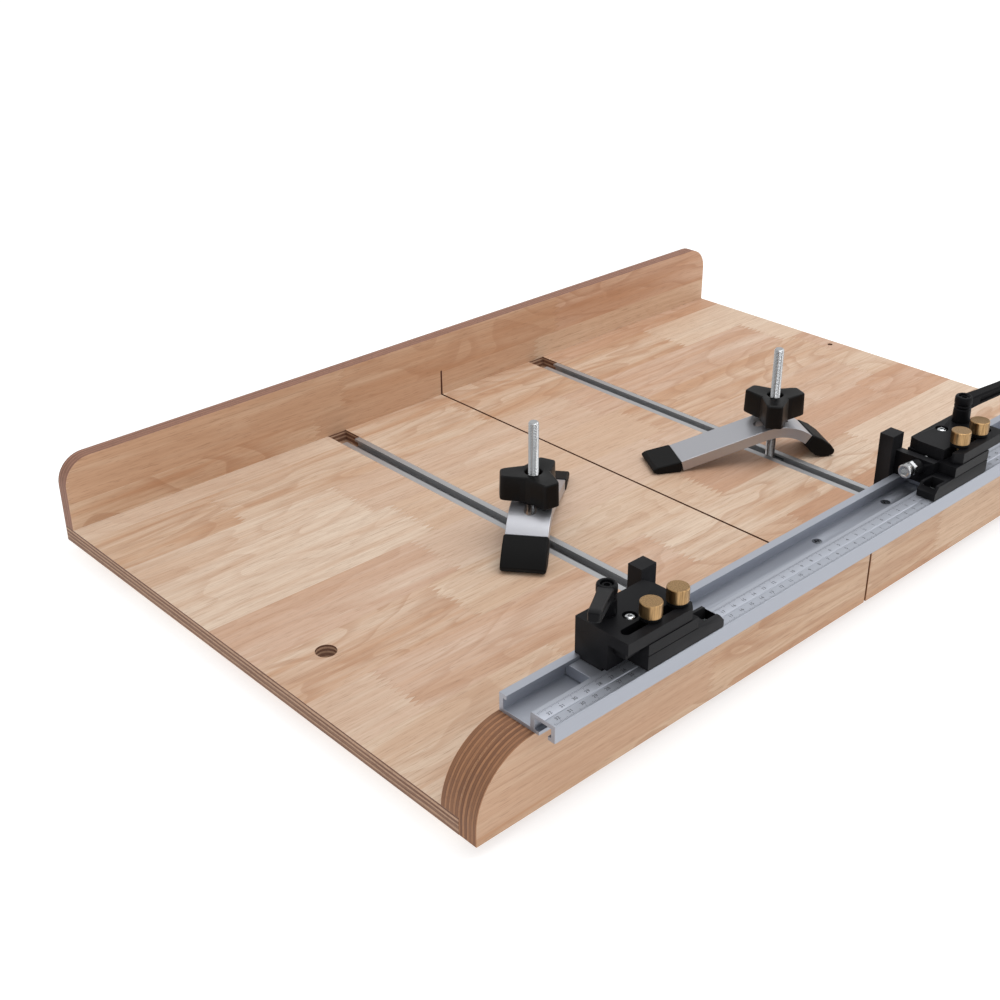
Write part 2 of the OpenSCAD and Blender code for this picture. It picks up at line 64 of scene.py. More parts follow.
class Tree:
    """A material's node tree with short calls for the nodes that the looks need."""

    def __init__(self, name):
        self.material = bpy.data.materials.new(name)
        self.material.use_nodes = True
        self.nodes = self.material.node_tree.nodes
        self.links = self.material.node_tree.links
        self.shader = self.nodes["Principled BSDF"]
        self.position = self.add("ShaderNodeTexCoord").outputs["Object"]

    def add(self, kind, **settings):
        made = self.nodes.new(kind)
        for key, value in settings.items():
            setattr(made, key, value)
        return made

    def feed(self, socket, value):
        """Links an output into a socket, or sets the socket's own value."""
        if isinstance(value, bpy.types.NodeSocket):
            self.links.new(value, socket)
        else:
            socket.default_value = value

    def math(self, operation, a, b=0.0, c=0.0):
        made = self.add("ShaderNodeMath", operation=operation)
        for socket, value in zip(made.inputs, (a, b, c)):
            self.feed(socket, value)
        return made.outputs[0]

    def axes(self):
        """X, Y and Z of the point, in metres."""
        made = self.add("ShaderNodeSeparateXYZ")
        self.links.new(self.position, made.inputs[0])
        return made.outputs

    def join(self, x, y, z):
        made = self.add("ShaderNodeCombineXYZ")
        for socket, value in zip(made.inputs, (x, y, z)):
            self.feed(socket, value)
        return made.outputs[0]

    def times(self, a, b):
        return self.math("MULTIPLY", a, b)

    def plus(self, a, b):
        return self.math("ADD", a, b)

    def minus(self, a, b):
        return self.math("SUBTRACT", a, b)

    def noise(self, vector, scale, detail=2.0, rough=0.5, distortion=0.0):
        made = self.add("ShaderNodeTexNoise")
        self.feed(made.inputs["Vector"], vector)
        made.inputs["Scale"].default_value = scale
        made.inputs["Detail"].default_value = detail
        made.inputs["Roughness"].default_value = rough
        made.inputs["Distortion"].default_value = distortion
        return made.outputs["Fac"]

    def white(self, x, y=0.0, z=0.0):
        made = self.add("ShaderNodeTexWhiteNoise", noise_dimensions="3D")
        self.links.new(self.join(x, y, z), made.inputs["Vector"])
        return made.outputs["Value"]

    def ramp(self, value, *stops):
        """Colour ramp: stops are (position, (r, g, b)) or (position, grey)."""
        made = self.add("ShaderNodeValToRGB")
        points = made.color_ramp.elements
        while len(points) < len(stops):
            points.new(0.5)
        for point, (place, shade) in zip(points, stops):
            shade = (shade,) * 3 if isinstance(shade, (int, float)) else shade
            point.position, point.color = place, (*shade, 1.0)
        self.feed(made.inputs["Fac"], value)
        return made.outputs["Color"]

    def mix(self, share, a, b, mode="MIX"):
        made = self.add("ShaderNodeMix", data_type="RGBA", blend_type=mode)
        self.feed(made.inputs[0], share)
        for socket, value in ((made.inputs[6], a), (made.inputs[7], b)):
            self.feed(socket, value if isinstance(value, bpy.types.NodeSocket) else (*value, 1.0))
        return made.outputs[2]

    def scaled(self, x=1.0, y=1.0, z=1.0, shift=None):
        """The point with each axis stretched, and shifted by a value if one is given."""
        px, py, pz = self.axes()
        moved = [self.math("MULTIPLY", p, k) for p, k in ((px, x), (py, y), (pz, z))]
        if shift is not None:
            moved = [self.math("ADD", m, shift) for m in moved]
        return self.join(*moved)

    def bump(self, height, strength, distance):
        made = self.add("ShaderNodeBump")
        made.inputs["Strength"].default_value = strength
        made.inputs["Distance"].default_value = distance
        self.feed(made.inputs["Height"], height)
        self.links.new(made.outputs["Normal"], self.shader.inputs["Normal"])

    def finish(self, color, roughness, **sockets):
        self.feed(self.shader.inputs["Base Color"], (*color, 1.0) if isinstance(color, tuple) else color)
        self.feed(self.shader.inputs["Roughness"], roughness)
        for key, value in sockets.items():
            self.shader.inputs[key.replace("_", " ")].default_value = value
        return self.material


# ---------------------------------------------------------------- materials

# The staves of the boards' faces, in metres
STAVE_WIDTH = 0.056
STAVE_LENGTH = 0.26
# Finger joints between staves: depth, and half the distance from finger to finger
FINGER_DEPTH = 0.0075
FINGER_HALF = 0.0024
# How far each face's staves sit from the next face's, and the widths of the glue lines: along a
# stave in metres, and across its ends as a share of its length
SEED_SHIFT = 0.0137
LONG_GLUE_LINE = 0.0003
END_GLUE_LINE = 0.0022


def wood_face(name, across, seed, tint=(1.0, 1.0, 1.0)):
    """Finger-jointed rubberwood face with its grain along X; across is the other axis of the face."""
    t = Tree(name)
    x, y, z = t.axes()
    side = {"Y": y, "Z": z}[across]
    placed = t.plus(side, seed * SEED_SHIFT)
    row = t.math("FLOOR", t.math("DIVIDE", placed, STAVE_WIDTH))
    teeth = t.math("PINGPONG", side, FINGER_HALF)
    run = t.plus(x, t.times(teeth, FINGER_DEPTH / FINGER_HALF))
    slid = t.plus(t.math("DIVIDE", run, STAVE_LENGTH), t.times(t.white(row, seed), 7.0))
    stave = t.math("FLOOR", slid)
    tone = t.white(row, stave, seed + 1.0)
    hue = t.white(row, stave, seed + 2.0)
    shift = t.times(tone, 9.0)

    # Flame figure: growth rings cut at a low angle, so they close into long arches
    bend = t.noise(t.scaled(5.0, 17.0, 17.0, shift), 1.0, 2.0, 0.5, 0.5)
    rings = t.math("FRACT", t.times(bend, 9.0))
    late = t.ramp(rings, (0.0, 0.0), (0.55, 0.12), (0.9, 1.0), (0.97, 0.85), (1.0, 0.0))
    where = t.ramp(hue, (0.25, 0.15), (0.8, 1.0))
    # Streaks: warm bands that run along the grain
    streak = t.noise(t.scaled(4.5, 62.0, 62.0, shift), 1.0, 4.0, 0.62, 0.35)
    warm_band = t.ramp(streak, (0.46, 0.0), (0.60, 0.75), (0.74, 1.0))
    pale_band = t.ramp(streak, (0.26, 1.0), (0.45, 0.0))
    fine = t.noise(t.scaled(11.0, 520.0, 520.0, shift), 1.0, 4.0, 0.65)
    pores = t.noise(t.scaled(75.0, 1700.0, 1700.0, shift), 1.0, 2.0, 0.55)
    dashes = t.ramp(pores, (0.30, 1.0), (0.42, 0.0))
    cloud = t.ramp(t.noise(t.scaled(5.0, 12.0, 12.0), 1.0, 3.0, 0.6), (0.38, 0.0), (0.68, 1.0))
    dull = t.ramp(fine, (0.35, 1.0), (0.62, 0.0))

    base = t.ramp(
        tone,
        (0.0, (0.680, 0.555, 0.440)),
        (0.3, (0.620, 0.475, 0.355)),
        (0.5, (0.560, 0.385, 0.270)),
        (0.7, (0.600, 0.450, 0.345)),
        (0.85, (0.555, 0.375, 0.275)),
        (1.0, (0.490, 0.300, 0.200)),
    )
    warm = t.mix(t.times(t.times(warm_band, where), 0.75), base, (0.455, 0.235, 0.120))
    pale = t.mix(t.times(pale_band, 0.55), warm, (0.700, 0.590, 0.475))
    clouded = t.mix(t.times(cloud, 0.22), pale, (0.480, 0.290, 0.185))
    flamed = t.mix(t.times(t.times(late, where), 0.42), clouded, (0.370, 0.190, 0.105))
    grained = t.mix(t.times(dull, 0.30), flamed, (0.365, 0.215, 0.130))
    pored = t.mix(t.times(dashes, 0.42), grained, (0.235, 0.125, 0.070))

    # Glue lines between staves and along the finger joints
    edge = t.math("PINGPONG", placed, STAVE_WIDTH / 2)
    rows_seam = t.math("GREATER_THAN", LONG_GLUE_LINE, t.minus(STAVE_WIDTH / 2, edge))
    rest = t.minus(slid, stave)
    ends_seam = t.math("GREATER_THAN", END_GLUE_LINE, rest)
    seam = t.times(t.math("MAXIMUM", t.times(rows_seam, 0.5), ends_seam), 0.5)
    seamed = t.mix(seam, pored, (0.30, 0.165, 0.095))
    tinted = t.mix(1.0, seamed, tint, "MULTIPLY")
    rough = t.ramp(fine, (0.2, 0.60), (0.8, 0.48))
    t.bump(t.minus(fine, t.times(dashes, 0.5)), 0.12, 0.00015)
    return t.finish(tinted, rough, Specular_IOR_Level=0.22, Coat_Weight=0.03, Coat_Roughness=0.4)


def wood_edge(name, through, origin, ply, strength, dark, pale):
    """Layered plywood edge; through is the axis of the board's thickness, starting at origin."""
    t = Tree(name)
    _, y, z = t.axes()
    depth = {"Y": y, "Z": z}[through]
    wobble = t.noise(t.scaled(30.0, 30.0, 30.0), 1.0, 3.0)
    uneven = t.noise(t.scaled(*(330.0 if a == through else 4.0 for a in "XYZ")), 1.0, 1.0)
    bent = t.plus(t.times(wobble, 0.5), t.times(uneven, 0.9))
    place = t.plus(t.math("DIVIDE", t.minus(depth, origin), ply), bent)
    layer = t.math("FLOOR", place)
    inside = t.minus(place, layer)
    odd = t.math("MODULO", t.math("ABSOLUTE", layer), 2.0)
    vary = t.times(t.minus(t.white(layer, 3.0), 0.5), 0.35)
    fibre = t.noise(t.scaled(260.0, 260.0, 260.0), 1.0, 3.0, 0.7)
    streak = t.noise(t.scaled(*(1600.0 if a == through else 45.0 for a in "XYZ")), 1.0, 3.0, 0.6)
    share = t.plus(t.times(odd, strength), vary)
    share = t.plus(share, t.times(t.minus(streak, 0.45), 0.9))
    body = t.mix(t.math("MINIMUM", t.math("MAXIMUM", share, 0.0), 1.0), pale, dark)
    glue = t.times(t.math("GREATER_THAN", 0.16, inside), t.ramp(streak, (0.3, 0.35), (0.6, 1.0)))
    lined = t.mix(t.times(glue, 0.7), body, (0.060, 0.026, 0.015))
    speckled = t.mix(t.times(t.ramp(fibre, (0.35, 1.0), (0.5, 0.0)), 0.3), lined, (0.16, 0.08, 0.05))
    t.bump(t.plus(fibre, t.times(glue, -1.0)), 0.3, 0.0002)
    return t.finish(speckled, 0.62, Specular_IOR_Level=0.3)


def aluminium(name, tint, roughness, along="X", strength=0.05):
    """Satin anodised extrusion with faint drawing lines along one axis."""
    t = Tree(name)
    stretch = [8.0 if a == along else 2600.0 for a in "XYZ"]
    lines = t.noise(t.scaled(*stretch), 1.0, 3.0, 0.6)
    haze = t.noise(t.scaled(18.0, 18.0, 18.0), 1.0, 3.0, 0.6)
    color = t.mix(t.times(haze, 0.22), tint, tuple(c * 0.86 for c in tint))
    rough = t.plus(roughness, t.times(t.minus(lines, 0.5), 0.16))
    t.bump(lines, strength, 0.00005)
    return t.finish(color, rough, Metallic=0.82)


def dark_coat(name, tint, roughness, grain, sheen=0.085, depth=0.00004):
    """Black anodised metal, moulded plastic or rubber: a dark, finely textured skin whose convex edges carry
    a painted highlight, a lighter grey in patches.
    """
    t = Tree(name)
    fine = t.noise(t.scaled(grain, grain, grain), 1.0, 3.0, 0.65)
    patches = t.noise(t.scaled(55.0, 55.0, 55.0), 1.0, 3.0, 0.6)
    geometry = t.add("ShaderNodeNewGeometry")
    # Painted highlight: where Pointiness marks a convex edge, the colour turns lighter in patches, standing
    # in for glints along the edges
    edge_highlight_mask = t.ramp(geometry.outputs["Pointiness"], (0.535, 0.0), (0.62, 1.0))
    painted_edge_highlight = t.times(edge_highlight_mask, t.times(patches, 0.35))
    dusty = t.mix(t.times(patches, 0.4), tint, tuple(c * 1.8 + 0.002 for c in tint))
    # The lighter grey of the painted edge highlight
    color = t.mix(painted_edge_highlight, dusty, (0.06, 0.06, 0.064))
    rough = t.plus(roughness, t.times(t.minus(patches, 0.5), 0.14))
    t.bump(fine, 0.35, depth)
    return t.finish(color, rough, Specular_IOR_Level=sheen)


def bright_metal(name, tint, roughness, grain=700.0, turned=False):
    """Plated steel or brass; turned parts carry fine brushing streaks along their axis in their bump, and
    painted reflection streaks, darker bands, in their colour.
    """
    t = Tree(name)
    stretch = (grain, grain, grain * 0.06) if turned else (grain, grain, grain)
    fine = t.noise(t.scaled(*stretch), 1.0, 3.0, 0.6)
    stain = t.noise(t.scaled(110.0, 110.0, 110.0), 1.0, 3.0, 0.6)
    reflection_streaked = tint
    # Painted reflection: on turned parts the colour darkens in streaks along the axis, standing in for the
    # streaky reflections of brushed metal
    if turned:
        reflection_streaked = t.mix(t.ramp(fine, (0.35, 0.9), (0.62, 0.0)), tint, tuple(c * 0.42 for c in tint))
    color = t.mix(t.times(stain, 0.35), reflection_streaked, tuple(c * 0.72 for c in tint))
    rough = t.plus(roughness, t.times(t.minus(stain, 0.5), 0.18))
    t.bump(fine, 0.10, 0.00004)
    return t.finish(color, rough, Metallic=1.0)


def clear_lens(name):
    """Clear acrylic with a faint haze."""
    t = Tree(name)
    haze = t.noise(t.scaled(140.0, 140.0, 140.0), 1.0, 2.0)
    rough = t.ramp(haze, (0.3, 0.04), (0.8, 0.12))
    return t.finish((0.92, 0.96, 0.97), rough, Transmission_Weight=0.92, IOR=1.49)


def ink(name, tint):
    """Printed ink, slightly uneven in tone."""
    t = Tree(name)
    patch = t.noise(t.scaled(900.0, 900.0, 900.0), 1.0, 2.0)
    color = t.mix(t.times(patch, 0.4), tint, tuple(c * 1.6 + 0.02 for c in tint))
    return t.finish(color, 0.6)


BOARD_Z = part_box("base_panel_left")[0].z
BOARD_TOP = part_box("base_panel_left")[1].z
FRONT_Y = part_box("front_fence_outer")[0].y
BACK_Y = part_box("back_fence")[0].y

BASE_FACE = wood_face("base_face", "Y", 1.0)
INNER_FACE = wood_face("inner_fence_face", "Z", 2.0, (0.96, 0.92, 0.88))
OUTER_FACE = wood_face("outer_fence_face", "Z", 3.0, (0.93, 0.83, 0.74))
BACK_FACE = wood_face("back_fence_face", "Z", 5.0, (1.0, 0.92, 0.85))
BASE_EDGE = wood_edge("base_edge", "Z", BOARD_Z, 0.00178, 0.85, (0.145, 0.066, 0.038), (0.44, 0.275, 0.180))
FRONT_EDGE = wood_edge(
    "front_fence_edge", "Y", FRONT_Y, 0.0019, 0.6, (0.115, 0.045, 0.022), (0.34, 0.165, 0.082)
)
BACK_EDGE = wood_edge("back_fence_edge", "Y", BACK_Y, 0.0017, 0.6, (0.16, 0.075, 0.052), (0.33, 0.17, 0.115))
TRACK_METAL = aluminium("track_metal", (0.385, 0.405, 0.455), 0.48)
SLOT_METAL = aluminium("t_track_metal", (0.43, 0.435, 0.445), 0.52, "Y")
BAR_METAL = aluminium("bar_metal", (0.44, 0.445, 0.475), 0.36, "X", 0.03)
BLACK_METAL = dark_coat("black_anodised", (0.0038, 0.0038, 0.0046), 0.40, 2200.0)
BLACK_PLASTIC = dark_coat("black_plastic", (0.0036, 0.0036, 0.0038), 0.36, 1500.0, 0.12)
BLACK_RUBBER = dark_coat("black_rubber", (0.0035, 0.0035, 0.0036), 0.58, 1100.0, 0.11, 0.00008)
BRIGHT_STEEL = bright_metal("bright_steel", (0.50, 0.51, 0.52), 0.22)
BRASS = bright_metal("brass", (0.47, 0.295, 0.140), 0.30, 1300.0, True)
LENS = clear_lens("clear_lens")
BLACK_INK = ink("scale_ink", (0.02, 0.02, 0.024))
RED_INK = ink("hairline_ink", (0.35, 0.02, 0.015))


# ---------------------------------------------------------------- piece helpers


# Edges sharper than SHARP_EDGE are shaded sharp, and those past ROUNDED_EDGE are rounded, in degrees
SHARP_EDGE = 38.0
ROUNDED_EDGE = 28.0
# Corners closer than this, in metres, are one corner; faces within this angle, in degrees, are one
WELD = 2e-6
FLAT = 0.6


def linked(name, data):
    """New object in the scene."""
    made = bpy.data.objects.new(name, data)
    bpy.context.scene.collection.objects.link(made)
    return made


def evaluated_mesh(holder):
    """The object's mesh with its modifiers or its text worked out."""
    bpy.context.view_layer.update()
    return bpy.data.meshes.new_from_object(holder.evaluated_get(bpy.context.evaluated_depsgraph_get()))


def finish_piece(name, mesh, material, body, replaced=(), smooth=SHARP_EDGE, bevel=0.0, segments=2):
    """Makes a piece of a mesh, with rounded edges, that rides on a body and stands for CAD nodes."""
    piece = linked(name, mesh)
    for each in material if isinstance(material, (list, tuple)) else (material,):
        mesh.materials.append(each)
    mesh.shade_smooth()
    mesh.set_sharp_from_angle(angle=math.radians(smooth))
    if bevel:
        rounding = piece.modifiers.new("rounded_edges", "BEVEL")
        rounding.width = bevel * MM
        rounding.segments = segments
        rounding.limit_method = "ANGLE"
        rounding.angle_limit = math.radians(ROUNDED_EDGE)
        rounding.harden_normals = True
    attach(piece, body)
    if replaced:
        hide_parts(*replaced)
    return piece


def from_node(node):
    """The CAD node's mesh as a clean bmesh: corners welded and flat triangles joined."""
    bm = bmesh.new()
    bm.from_mesh(NODES[node].data)
    bmesh.ops.remove_doubles(bm, verts=bm.verts, dist=WELD)
    bmesh.ops.dissolve_limit(bm, angle_limit=math.radians(FLAT), verts=bm.verts, edges=bm.edges)
    return bm


def to_mesh(bm, name):
    mesh = bpy.data.meshes.new(name)
    bmesh.ops.recalc_face_normals(bm, faces=bm.faces)
    bm.to_mesh(mesh)
    bm.free()
    return mesh


def stand_in(node, suffix, bm, material, smooth=SHARP_EDGE, bevel=0.0, segments=2, also=()):
    """Finishes a piece on the CAD node's own body that stands for it, and for any others."""
    mesh = bm if isinstance(bm, bpy.types.Mesh) else to_mesh(bm, node)
    replaced = (node, *also)
    return finish_piece(
        node + suffix, mesh, material, BODY_OF[node], replaced, smooth, bevel, segments
    )


def refined(node, material, bevel, segments=2, choose=None):
    """The CAD node again, welded and with rounded edges; choose(face) picks its material."""
    bm = from_node(node)
    if choose:
        for face in bm.faces:
            face.material_index = choose(face)
    stand_in(node, "_skin", bm, material, SHARP_EDGE, bevel, segments)


def lathe(bm, profile, place=Matrix.Identity(4), steps=48, knurl=None):
    """Turns a profile of (radius, height) in mm about the place's Z; knurl(radius, height, k), if
    given, moves each radius."""
    rings = []
    for radius, height in profile:
        if radius < 1e-6:
            rings.append([bm.verts.new(place @ Vector((0, 0, height)))])
            continue
        ring = []
        for k in range(steps):
            angle = math.tau * k / steps
            r = knurl(radius, height, k) if knurl else radius
            ring.append(bm.verts.new(place @ Vector((r * math.cos(angle), r * math.sin(angle), height))))
        rings.append(ring)
    for low, high in zip(rings, rings[1:]):
        for k in range(steps):
            n = (k + 1) % steps
            corners = [low[k % len(low)], low[n % len(low)], high[n % len(high)], high[k % len(high)]]
            unique = list(dict.fromkeys(corners))
            if len(unique) > 2:
                bm.faces.new(unique)
    return rings


def bridge(bm, a, b):
    """Faces between two rings with the same number of corners."""
    for k in range(len(a)):
        n = (k + 1) % len(a)
        bm.faces.new((a[k], a[n], b[n], b[k]))


def at(x, y, z, turn=Matrix.Identity(4)):
    """Placement at a point in metres, with lengths inside it in mm."""
    return Matrix.Translation((x, y, z)) @ turn @ Matrix.Scale(MM, 4)


def middle(node):
    """Middle of a CAD node's box, in metres."""
    low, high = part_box(node)
    return (low + high) / 2


def upright(node, turn=0.0):
    """Placement on a CAD node's vertical axis, heights in mm from the base board's underside."""
    centre = middle(node)
    return at(centre.x, centre.y, BOARD_Z, Matrix.Rotation(math.radians(turn), 4, "Z"))


# ---------------------------------------------------------------- boards


# A face whose normal leans this little from an axis lies square to it
SQUARE = 0.7


def flat_in_z(face):
    """Veneer (0) on the base's top and underside; its edges and its grooves' floors are bare (1)."""
    outside = min(abs(face.calc_center_median().z - level) for level in (BOARD_TOP, BOARD_Z)) < 0.1 * MM
    return 0 if abs(face.normal.z) > SQUARE and outside else 1


def flat_in_y(face):
    """Veneer (0) on a fence's broad faces, layered edge (1) elsewhere."""
    return 0 if abs(face.normal.y) > SQUARE else 1


for panel in ("base_panel_left", "base_panel_right"):
    refined(panel, (BASE_FACE, BASE_EDGE), 0.35, choose=flat_in_z)
refined("front_fence_outer", (OUTER_FACE, FRONT_EDGE), 0.4, choose=flat_in_y)
refined("front_fence_inner", (INNER_FACE, FRONT_EDGE), 0.4, choose=flat_in_y)
refined("back_fence", (BACK_FACE, BACK_EDGE), 0.5, choose=flat_in_y)


# ---------------------------------------------------------------- tracks, runners and scale

refined("fence_track", TRACK_METAL, 0.18)
for side in ("left", "right"):
    refined(f"t_track_{side}", SLOT_METAL, 0.18)
    refined(f"runner_{side}", SLOT_METAL, 0.5)
    refined(f"{side}_slider_plate", TRACK_METAL, 0.35)

# Printed scale, in mm: the ink's height, the numerals' height and its ratio to the font's size, the
# step from numeral to numeral, the ticks' width, and the blank left at each end
INK_HEIGHT = 0.04
NUMERAL_SIZE = 2.5
NUMERAL_RATIO = 0.72
SCALE_STEP = 10
TICK_WIDTH = 0.16
SCALE_BLANK = 1.5
# Each row of the scale: numerals' middle, where its ticks start, and which way they run,
# in mm from the front fence's outer face
SCALE_ROWS = ((-10.6, -14.9, 1), (-4.4, 0.6, -1))
TICK_LENGTHS = {10: 2.4, 5: 1.9, 1: 1.3}
KERF_X = (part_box("base_panel_left")[1].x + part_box("base_panel_right")[0].x) / 2


def glyph(text):
    """Outline of a number as a flat mesh centred on the origin, in mm."""
    curve = bpy.data.curves.new("glyph", "FONT")
    curve.body, curve.size = text, NUMERAL_SIZE / NUMERAL_RATIO
    curve.align_x, curve.align_y = "CENTER", "CENTER"
    curve.resolution_u = 3
    curve.extrude = INK_HEIGHT / 2
    holder = linked("glyph", curve)
    mesh = evaluated_mesh(holder)
    bpy.data.objects.remove(holder)
    bpy.data.curves.remove(curve)
    return mesh


def block(bm, low, high):
    """Closed box between two corners in metres."""
    corners = [bm.verts.new(corner) for corner in itertools.product(*zip(low, high))]
    for quad in ((0, 1, 3, 2), (4, 6, 7, 5), (0, 4, 5, 1), (2, 3, 7, 6), (0, 2, 6, 4), (1, 5, 7, 3)):
        bm.faces.new([corners[k] for k in quad])


def scale_marks():
    """Millimetre ticks and centimetre numerals, counted both ways from the kerf."""
    low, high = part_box("fence_track")
    surface = high.z
    ticks, numerals = bmesh.new(), bmesh.new()
    first = math.ceil((low.x - KERF_X) / MM + SCALE_BLANK)
    last = math.floor((high.x - KERF_X) / MM - SCALE_BLANK)
    for _, start, way in SCALE_ROWS:
        for mark in range(first, last + 1):
            x = KERF_X + mark * MM
            length = next(l for step, l in TICK_LENGTHS.items() if mark % step == 0)
            ends = sorted((FRONT_Y + start * MM, FRONT_Y + (start + way * length) * MM))
            half = TICK_WIDTH * MM / 2
            block(ticks, (x - half, ends[0], surface), (x + half, ends[1], surface + INK_HEIGHT * MM))
    drawn = {}
    for mark in range(SCALE_STEP * math.ceil((first + 2) / SCALE_STEP), last - 1, SCALE_STEP):
        text = str(abs(mark) // 10)
        if text not in drawn:
            drawn[text] = glyph(text)
        for middle_y, _, _ in SCALE_ROWS:
            before = len(numerals.verts)
            numerals.from_mesh(drawn[text])
            numerals.verts.ensure_lookup_table()
            shift = at(KERF_X + mark * MM, FRONT_Y + middle_y * MM, surface + INK_HEIGHT * MM / 2)
            for vert in numerals.verts[before:]:
                vert.co = shift @ vert.co
    for name, bm in (("scale_ticks", ticks), ("scale_numerals", numerals)):
        finish_piece(name, to_mesh(bm, name), BLACK_INK, "base", smooth=20.0)
    for mesh in drawn.values():
        bpy.data.meshes.remove(mesh)


scale_marks()


# ---------------------------------------------------------------- screws


# Half length and half width of a cross recess's arms, as shares of the head's radius
RECESS_LENGTH = 0.62
RECESS_WIDTH = 0.15


def cross_recessed(node, radius, depth, up):
    """The node's screws again with cross recesses in their heads, whose faces look up or down."""
    bm = from_node(node)
    head_area = math.pi * (radius * MM) ** 2
    heads = []
    for face in bm.faces:
        area = face.calc_area()
        if face.normal.z * up > 0.95 and abs(area - head_area) < 0.12 * area:
            heads.append(face.calc_center_median().copy())
    body = linked("screws", to_mesh(bm, node + "_screws"))
    cut = bmesh.new()
    long, thin = radius * RECESS_LENGTH * MM, radius * RECESS_WIDTH * MM
    for c in heads:
        z = sorted((c.z + up * 0.5 * MM, c.z - up * depth * MM))
        block(cut, (c.x - long, c.y - thin, z[0]), (c.x + long, c.y + thin, z[1]))
        block(cut, (c.x - thin, c.y - long, z[0]), (c.x + thin, c.y + long, z[1]))
    cutter = linked("cutter", to_mesh(cut, "cutter"))
    cutting = body.modifiers.new("recess", "BOOLEAN")
    cutting.object, cutting.operation, cutting.use_self = cutter, "DIFFERENCE", True
    mesh = evaluated_mesh(body)
    mesh.name = node + "_steel"
    mesh.materials.clear()
    bpy.data.objects.remove(body)
    bpy.data.objects.remove(cutter)
    stand_in(node, "_steel", mesh, BRIGHT_STEEL, 30.0)


# Each screw: its head's radius and its recess's depth in mm, and the way the head looks
cross_recessed("fence_track_screws", 3.6, 1.6, 1)
cross_recessed("t_track_screws", 3.0, 1.4, 1)
cross_recessed("fence_screws", 4.0, 2.0, -1)
cross_recessed("runner_screws", 3.8, 2.0, -1)


# ---------------------------------------------------------------- stops


# Brass knobs, in mm: radius, underside and top, and the stud's radius and lower end
KNOB_RADIUS = 7.0
KNOB_LOW = 97.5
KNOB_TOP = 107.0
KNOB_STUD = 2.45
KNOB_STUD_LOW = 80.0
# Depths of the knurling and of the turning rings
KNURL = 0.16
TURNING = 0.035


def brass_knob(node):
    """Turned thumb knob with a finely knurled rim and faint turning rings on its flat top."""
    r, low, top = KNOB_RADIUS, KNOB_LOW, KNOB_TOP
    bm = bmesh.new()

    def knurl(radius, height, k):
        return radius - (KNURL if low + 0.9 < height < top - 0.8 and k % 2 else 0.0)

    face = [(k / 2, top - (TURNING if k % 2 else 0.0)) for k in range(12, 0, -1)]
    profile = [
        (0, KNOB_STUD_LOW), (KNOB_STUD, KNOB_STUD_LOW), (KNOB_STUD, low), (r - 0.4, low),
        (r - 0.03, low + 0.4), (r - 0.03, low + 0.8), (r, low + 1.1), (r, top - 1.0),
        (r - 0.03, top - 0.6), (r - 0.1, top - 0.3), (r - 0.5, top), *face, (0, top),
    ]
    lathe(bm, profile, upright(node), 120, knurl)
    stand_in(node, "_brass", bm, BRASS, 32.0)


# Stations along the lever's handle in mm: distance from the hub's axis, half width, underside
# and top above the base's underside, and the depth of the recess in each flank
HANDLE = (
    (3.0, 5.0, 105.0, 114.6, 0.0),
    (8.0, 4.7, 106.4, 115.6, 0.0),
    (11.0, 4.5, 107.2, 116.3, 0.1),
    (12.5, 4.4, 107.6, 116.6, 1.4),
    (26.0, 4.1, 110.9, 119.3, 1.4),
    (38.0, 3.95, 113.9, 121.8, 1.4),
    (39.5, 3.95, 114.2, 122.1, 0.1),
    (42.5, 3.9, 115.0, 122.6, 0.0),
    (44.3, 3.4, 116.0, 122.4, 0.0),
    (45.0, 2.6, 116.8, 121.8, 0.0),
)


# Profile of the lever's hub, and of the steel stud below it: radius and height in mm
HUB = (
    (0, 95.3), (6.4, 95.3), (6.6, 95.7), (6.45, 100), (6.3, 105.2), (5.9, 105.7), (5.9, 106.4),
    (6.35, 106.9), (6.35, 107.8), (5.95, 108.2), (5.95, 108.9), (6.4, 109.4), (6.5, 110), (6.5, 113.6),
    (6.2, 114.7), (5.5, 115.3), (4.5, 115.3), (4.1, 114.9), (4.1, 112.6), (3.5, 112.6), (3.4, 113.6),
    (2.9, 114), (1.9, 114), (1.9, 112.4), (0, 112.4),
)
STUD = ((0, 59.3), (2.6, 59.3), (3, 59.7), (3, 95.4), (0, 95.4))
# The handle's corner chamfer in mm, and the rims beside its recesses as a share of its height
HANDLE_CHAMFER = 0.9
HANDLE_RIM = 0.27
LEVER_ANGLES = {"left": 214.0, "right": -22.0}


def handle_section(half, low, high, recess):
    """Cross-section of the handle with chamfered corners and a recess in each flank."""
    cut, rim = HANDLE_CHAMFER, (high - low) * HANDLE_RIM
    right = [
        (half - cut, low), (half, low + cut), (half, low + rim), (half - recess, low + rim + 0.5),
        (half - recess, high - rim - 0.5), (half, high - rim), (half, high - cut), (half - cut, high),
    ]
    return right + [(-s, h) for s, h in reversed(right)]


def clamp_lever(side):
    """Cast clamping lever: a waisted hub with a sunk screw and a rising, tapered handle."""
    node, stud_node = f"{side}_clamp_lever", f"{side}_lever_stud"
    place = upright(stud_node, LEVER_ANGLES[side])
    bm = bmesh.new()
    lathe(bm, HUB, place, 56)
    rings = [
        [bm.verts.new(place @ Vector((t, s, h))) for s, h in handle_section(half, low, high, recess)]
        for t, half, low, high, recess in HANDLE
    ]
    for a, b in zip(rings, rings[1:]):
        bridge(bm, a, b)
    bm.faces.new(rings[0])
    bm.faces.new(rings[-1])
    stand_in(node, "_cast", bm, BLACK_METAL, 34.0, 0.25, also=(stud_node,))
    stud = bmesh.new()
    lathe(stud, STUD, upright(stud_node), 32)
    name = stud_node + "_steel"
    finish_piece(name, to_mesh(stud, name), BRIGHT_STEEL, BODY_OF[node], (), 34.0)


